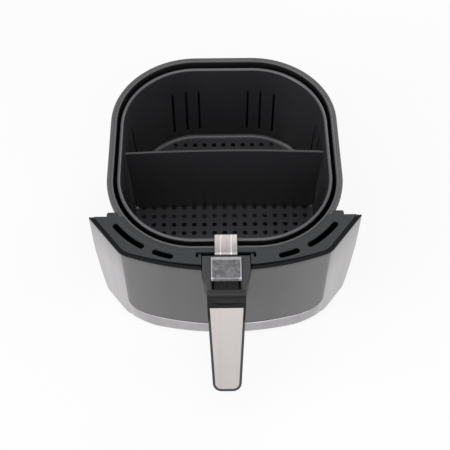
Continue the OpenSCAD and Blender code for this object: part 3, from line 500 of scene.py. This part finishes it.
for part in frame["record"]["subparts"]:
    solid = frame["nodes"][part["node"]]
    solid.data.materials.clear()
    solid.data.materials.append(FINISHES[part["material_slot"]])


# ---------------------------------------------------------------- building pieces

def closed_mesh(name, verts, faces):
    """A mesh given in millimetres, with its faces turned outwards."""
    mesh = bpy.data.meshes.new(name)
    mesh.from_pydata([Vector(v) * MM for v in verts], [], faces)
    work = bmesh.new()
    work.from_mesh(mesh)
    bmesh.ops.recalc_face_normals(work, faces=work.faces)
    work.to_mesh(mesh)
    work.free()
    return mesh


def tube(rings, around):
    """Faces that join rings of so many points around, with both ends shut."""
    faces = []
    for i in range(rings - 1):
        for j in range(around):
            a = i * around + j
            b = i * around + (j + 1) % around
            faces.append((a, a + around, b + around, b))
    last = (rings - 1) * around
    return faces + [tuple(range(around)), tuple(range(last + around - 1, last - 1, -1))]


def placed(name, data):
    """An object made from its data and put into the scene."""
    thing = bpy.data.objects.new(name, data)
    bpy.context.scene.collection.objects.link(thing)
    return thing


def prism(name, outline, front, rear):
    """A loose prism: an upright outline of x and z, drawn out along Y."""
    verts = [(x, y, z) for y in (front, rear) for x, z in outline]
    return placed(name, closed_mesh(name, verts, tube(2, len(outline))))


def cut(thing, cutter):
    """Takes one mesh away from another."""
    knife = thing.modifiers.new("cut", "BOOLEAN")
    knife.operation = "DIFFERENCE"
    knife.solver = "EXACT"
    knife.object = cutter
    bpy.context.view_layer.update()
    worked_out = thing.evaluated_get(bpy.context.evaluated_depsgraph_get())
    shaped = bpy.data.meshes.new_from_object(worked_out)
    thing.modifiers.clear()
    thing.data = shaped
    bpy.data.objects.remove(cutter)


# ---------------------------------------------------------------- front panel

# The panel's top outline in plan: how far its rear tip and its crease lie from the middle and ahead of
# the pan's centre, and how far ahead the bowed face reaches. Millimetres, as below.
TIP = (141.7, 91.7)
CREASE = (106.7, 136.8)
NOSE = 156.9
# Reach of the round at the crease, and the share of it where the side gives way to the front.
CREASE_SOFT, ROUND_MIDDLE = 6.0, 0.5
# Heights of the panel's top and foot, its wall, and the round of its hem.
TOP, FOOT, WALL, HEM = 137.0, 3.0, 2.0, 4.0
LOW = FOOT + HEM
# The lower band's top edge, and the round by which it climbs beside each crease.
BAND, BAND_BEND, BAND_STEP, BAND_LEAST = 24.0, 25.0, 0.25, 4
# The rear edges sweep up from the hem to the tips.
SWEEP_HEIGHT, SWEEP_RUN, SWEEP_CURVE = 72.0, 14.0, 1.6
# How far the face leans out, and how far the band stands out from it before it falls off at the creases.
FACE_LEAN, BAND_OUT, BAND_FALL = 1.2, 0.8, 8
# How far the foot stands out, how it grows towards the crease, and how it draws in at the crease.
FOOT_OUT, FOOT_GROWTH, FOOT_CURVE = 2, 1.26, 1.3
FOOT_TRIM, TRIM_FROM, TRIM_RUN, TRIM_CURVE = 5.7, 0.7, 0.3, 1.6
# How far the sides draw in beside the foot's creases, and how far from them.
SIDE_TUCK, TUCK_REACH = 2.2, 15
# Rounded top edge, as depth behind the outside and distance below the top.
TOP_EDGE = ((0.15, 0.15), (0.5, 0), (1.5, 0), (1.85, 0.15))
TOP_ROUND = 0.5

# Columns along the side, which crowd towards its tip, round the crease and along the bow; then rows.
SIDE_STEPS, SIDE_CROWD, CREASE_STEPS, BOW_STEPS = 26, 1.5, 8, 60
HEM_STEPS, BAND_STEPS, FACE_STEPS = 6, 6, 18
RIM_ROW = HEM_STEPS + BAND_STEPS + FACE_STEPS + 2
FACE_ROWS = range(HEM_STEPS + BAND_STEPS + 1, RIM_ROW - 1)
RIM_ROWS = range(RIM_ROW - 1, RIM_ROW + 4)

# The third slot paints the rim and the notch's cut edges in the dark plastic, as shade in the gaps.
PANEL_SLOTS = ("panel_finish", "panel_face", "frame_plastic")
LACQUERED, FACED, GAP_SHADE = range(3)

# The handle's notch: half widths at its foot and top, heights, and from where to where it is cut.
NOTCH_NARROW, NOTCH_WIDE, NOTCH_LOW, NOTCH_HIGH = 23.4, 25.2, 110.7, 140
NOTCH_FRONT, NOTCH_REAR = -170, -135
# Its cut edges are the faces this near the middle that face sideways by this much.
NOTCH_REACH, SIDEWAYS = 26, 0.8
SHARP_ANGLE = 32

SIDE_LENGTH = math.hypot(TIP[0] - CREASE[0], TIP[1] - CREASE[1])
SIDE_WAY = Vector(((CREASE[0] - TIP[0]) / SIDE_LENGTH, (TIP[1] - CREASE[1]) / SIDE_LENGTH))
SAG = NOSE - CREASE[1]
BOW = (CREASE[0] ** 2 + SAG ** 2) / (2 * SAG)
BOW_Y = BOW - NOSE


def side_at(run):
    """Point on the panel's right side, at a run from its rear tip."""
    return Vector((TIP[0], -TIP[1])) + SIDE_WAY * run


def bow_at(angle):
    """Point on the bowed face, at an angle from the middle."""
    return Vector((BOW * math.sin(angle), BOW_Y - BOW * math.cos(angle)))


def panel_half():
    """Plan of the right half from rear tip to middle: points, and how far round the crease each is."""
    reach = SIDE_LENGTH - CREASE_SOFT
    runs = [reach * (i / SIDE_STEPS) ** SIDE_CROWD for i in range(SIDE_STEPS + 1)]
    points = [(side_at(run), 0.0) for run in runs]
    corner = Vector((CREASE[0], -CREASE[1]))
    bow_angle = math.atan2(CREASE[0], BOW_Y + CREASE[1]) - CREASE_SOFT / BOW
    first = side_at(reach)
    last = bow_at(bow_angle)
    for i in range(1, CREASE_STEPS + 1):
        s = i / CREASE_STEPS
        points.append((first * (1 - s) ** 2 + corner * (2 * s * (1 - s)) + last * s * s, s))
    for i in range(1, BOW_STEPS + 1):
        points.append((bow_at(bow_angle * (1 - i / BOW_STEPS)), 1.0))
    return points


def panel_columns():
    """Columns of the whole panel: point in plan, how far round the crease, and outward direction."""
    half = panel_half()
    points = half + [(Vector((-p.x, p.y)), s) for p, s in reversed(half[:-1])]
    columns = []
    for i, (p, s) in enumerate(points):
        step = points[min(i + 1, len(points) - 1)][0] - points[max(i - 1, 0)][0]
        columns.append((p, s, Vector((-step.y, step.x)).normalized()))
    return columns


def band_edge(x, shift):
    """Height of the band's top edge at a distance from the middle."""
    if shift < ROUND_MIDDLE:
        return BAND + BAND_BEND
    over = min(BAND_BEND, x - (CREASE[0] - BAND_BEND + 1))
    if over <= 0:
        return BAND
    return BAND + BAND_BEND - math.sqrt(max(0.0, BAND_BEND ** 2 - over ** 2))


def panel_out(point, shift, z):
    """How far the panel stands out from its top outline at a height."""
    x = abs(point.x)
    edge = band_edge(x, shift)
    below = (max(0.0, edge - z) / (edge - LOW)) ** FOOT_CURVE
    from_crease = math.hypot(x - CREASE[0], point.y + CREASE[1])
    side = (TOP - z) / (TOP - LOW)
    side -= SIDE_TUCK * max(0.0, 1 - from_crease / TUCK_REACH) ** 2 * below
    s = min(1.0, x / CREASE[0])
    face = FACE_LEAN * (TOP - max(z, edge)) / (TOP - BAND)
    if z < edge:
        face += BAND_OUT * (1 - s ** BAND_FALL)
    foot = FOOT_OUT * (1 + FOOT_GROWTH * s * s)
    if s > TRIM_FROM:
        foot -= FOOT_TRIM * ((s - TRIM_FROM) / TRIM_RUN) ** TRIM_CURVE
    front = face * (1 - below) + foot * below
    blend = shift * shift * (3 - 2 * shift)
    return side * (1 - blend) + front * blend


def panel_ring(point, shift, normal):
    """Closed section of the panel at one column: up the outside, over the top and down the inside."""
    from_tip = min((point - Vector((s * TIP[0], -TIP[1]))).length for s in (-1, 1))
    low = LOW
    if from_tip < SWEEP_RUN:
        low += SWEEP_HEIGHT * (1 - from_tip / SWEEP_RUN) ** SWEEP_CURVE
    edge = max(band_edge(abs(point.x), shift), low + BAND_LEAST)
    band_run = edge - BAND_STEP - low
    face_low = edge + BAND_STEP
    face_run = TOP - TOP_ROUND - face_low
    heights = [low + band_run * k / BAND_STEPS for k in range(BAND_STEPS + 1)]
    heights += [face_low + face_run * k / FACE_STEPS for k in range(FACE_STEPS + 1)]

    def skin(depth, z, out_z):
        out = panel_out(point, shift, out_z) - depth
        return (point.x + normal.x * out, point.y + normal.y * out, z)

    def hem(depth):
        r = HEM - depth
        curls = [math.radians(90 * k / HEM_STEPS) for k in range(HEM_STEPS)]
        return [skin(depth + r * (1 - math.sin(c)), low - r * math.cos(c), low) for c in curls]

    ring = hem(0.0) + [skin(0.0, z, z) for z in heights]
    ring += [skin(depth, TOP - drop, TOP) for depth, drop in TOP_EDGE]
    return ring + [skin(WALL, z, z) for z in reversed(heights)] + hem(WALL)[::-1]


def front_panel():
    """The panel's smooth shell: lacquered, with a darker face, a rim painted dark as shade and the
    handle's notch.
    """
    columns = panel_columns()
    rings = [panel_ring(*column) for column in columns]
    around = len(rings[0])
    slots = []
    for before, after in zip(columns, columns[1:]):
        on_front = min(before[1], after[1]) >= ROUND_MIDDLE
        for j in range(around):
            coat = FACED if on_front and j in FACE_ROWS else LACQUERED
            # The rim rows are painted dark, as shade in the gap under the deck's edge.
            slots.append(GAP_SHADE if j in RIM_ROWS else coat)
    slots += [LACQUERED, LACQUERED]
    verts = [point for ring in rings for point in ring]
    mesh = closed_mesh("panel_shell", verts, tube(len(rings), around))
    for slot in PANEL_SLOTS:
        mesh.materials.append(FINISHES[slot])
    for polygon, slot in zip(mesh.polygons, slots):
        polygon.material_index = slot
        polygon.use_smooth = True
    shell = placed("panel_shell", mesh)
    notch = [(-NOTCH_NARROW, NOTCH_LOW), (NOTCH_NARROW, NOTCH_LOW)]
    notch += [(NOTCH_WIDE, NOTCH_HIGH), (-NOTCH_WIDE, NOTCH_HIGH)]
    cut(shell, prism("panel_notch", notch, NOTCH_FRONT, NOTCH_REAR))
    # The notch's cut edges are painted dark, as shade in the gap round the handle.
    for face in shell.data.polygons:
        if abs(face.center.x) < NOTCH_REACH * MM and abs(face.normal.x) > SIDEWAYS:
            face.material_index = GAP_SHADE
    shell.data.set_sharp_from_angle(angle=math.radians(SHARP_ANGLE))
    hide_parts("front_panel")
    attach(shell, "drawer")


# ---------------------------------------------------------------- button spring

def button_spring():
    """The button's coil: round wire with its end turns closed up."""
    wire, radius, seat, top = 0.4, 3.4, 119.5, 131.2
    turns, closed_turns = 6.5, 0.9
    middle_y, steps, sides = -160.3, 30, 10
    verts = []
    count = int(turns * steps)
    for k in range(count + 1):
        a = 2 * math.pi * k / steps
        open_run = min(1.0, max(0.0, (k / steps - closed_turns) / (turns - 2 * closed_turns)))
        z = seat + wire + (top - seat - 2 * wire) * open_run
        out = Vector((math.cos(a), math.sin(a), 0))
        centre = Vector((0, middle_y, z)) + out * radius
        for j in range(sides):
            b = 2 * math.pi * j / sides
            verts.append(centre + out * wire * math.cos(b) + Vector((0, 0, wire * math.sin(b))))
    mesh = closed_mesh("spring_coil", verts, tube(count + 1, sides))
    mesh.materials.append(FINISHES["spring_steel"])
    for polygon in mesh.polygons:
        polygon.use_smooth = True
    coil = placed("spring_coil", mesh)
    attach(coil, "basket")
    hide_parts("button_spring")
    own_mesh(coil)


front_panel()
button_spring()


# ---------------------------------------------------------------- light, floor, camera

# Metres here. The surround is white to the eye and lights the part by this share of white.
WORLD_LIGHT = 0.35
FLOOR_REACH, FLOOR_DROP = 6, 0.0002
# The floor is mostly plain white to the eye, and wholly so from some way off.
FLOOR_GLOW, FADE_FROM, FADE_RUN = 0.86, 0.5, 1.5
# Lamps: name, place, aim, size and power.
LAMPS = (
    ("key", (-0.4, -0.7, 1.9), (0, -0.1, 0), (3.0, 2.6), 26),
    ("fill", (0.3, -1.4, 1.2), (0, -0.1, 0), (1.2, 0.8), 4),
    ("rear_box", (0.9, 1.0, 0.8), (0.05, 0.05, 0.12), (0.6, 0.5), 5.8),
    ("left_box", (-1.3, -0.7, 0.5), (-0.1, -0.12, 0.07), (0.8, 0.9), 13.5),
    ("right_box", (1.3, -0.7, 0.5), (0.1, -0.12, 0.07), (0.8, 0.9), 5.5),
)
CAMERA_TARGET = Vector((0.0004, -0.0251, 0.020))
CAMERA_TURN, CAMERA_DROP, CAMERA_AWAY = math.radians(0.72), math.radians(56.58), 1.0677
CAMERA_LENS, CAMERA_SENSOR = 72, 36


def aimed(name, data, place, way):
    """A lamp or a camera that looks along a direction."""
    thing = placed(name, data)
    thing.location = place
    thing.rotation_euler = way.to_track_quat("-Z", "Y").to_euler()
    return thing


def seen(nodes):
    """One for rays from the eye, also by gloss or clear plastic, and nought for light on the part."""
    kinds = ("Is Camera Ray", "Is Glossy Ray", "Is Transmission Ray")
    eye, gloss, clear = (nodes.add("ShaderNodeLightPath", output=kind) for kind in kinds)
    return (eye + gloss + clear).clamped()


def studio_world():
    """A white surround that lights the part softly."""
    world = bpy.data.worlds.new("studio")
    bpy.context.scene.world = world
    nodes = Nodes(world)
    strength = seen(nodes) * (1 - WORLD_LIGHT) + WORLD_LIGHT
    back = nodes.add("ShaderNodeBackground", Color=(1, 1, 1), Strength=strength)
    nodes.add("ShaderNodeOutputWorld", Surface=back)


def pale_floor():
    """A pale floor that takes the part's shadow and runs out into the white surround."""
    mesh = bpy.data.meshes.new("floor")
    signs = ((-1, -1), (1, -1), (1, 1), (-1, 1))
    corners = [(x * FLOOR_REACH, y * FLOOR_REACH, 0) for x, y in signs]
    mesh.from_pydata(corners, [], [(0, 1, 2, 3)])
    floor = placed("floor", mesh)
    floor.location.z = -FLOOR_DROP
    nodes = Nodes(bpy.data.materials.new("pale_floor"))
    paint = nodes.add("ShaderNodeBsdfDiffuse", Color=(0.8, 0.8, 0.8))
    glow = nodes.add("ShaderNodeEmission", Strength=1.0)
    spot = nodes.add("ShaderNodeNewGeometry", output="Position")
    away = nodes.add("ShaderNodeVectorMath", {"operation": "LENGTH"}, output="Value", at={0: spot})
    far = ((away - FADE_FROM) / FADE_RUN).clamped()
    share = seen(nodes) * (far * (1 - FLOOR_GLOW) + FLOOR_GLOW)
    blend = nodes.add("ShaderNodeMixShader", at={0: share, 1: paint, 2: glow})
    nodes.add("ShaderNodeOutputMaterial", Surface=blend)
    mesh.materials.append(nodes.owner)


def lamp(name, place, aim, size, power):
    """A soft box that looks at its aim."""
    data = bpy.data.lights.new(name, "AREA")
    data.shape = "RECTANGLE"
    data.size, data.size_y = size
    data.energy = power
    aimed(name, data, place, Vector(aim) - Vector(place))


def camera():
    """The camera, looking down on the handle's side of the part."""
    data = bpy.data.cameras.new("camera")
    data.lens = CAMERA_LENS
    data.sensor_width = CAMERA_SENSOR
    data.clip_start = 0.01
    level = math.cos(CAMERA_DROP)
    sideways, forward = math.sin(CAMERA_TURN) * level, math.cos(CAMERA_TURN) * level
    ahead = Vector((sideways, forward, -math.sin(CAMERA_DROP)))
    bpy.context.scene.camera = aimed("camera", data, CAMERA_TARGET - ahead * CAMERA_AWAY, ahead)


studio_world()
pale_floor()
for row in LAMPS:
    lamp(*row)
camera()
bpy.context.scene.view_settings.view_transform = "Standard"
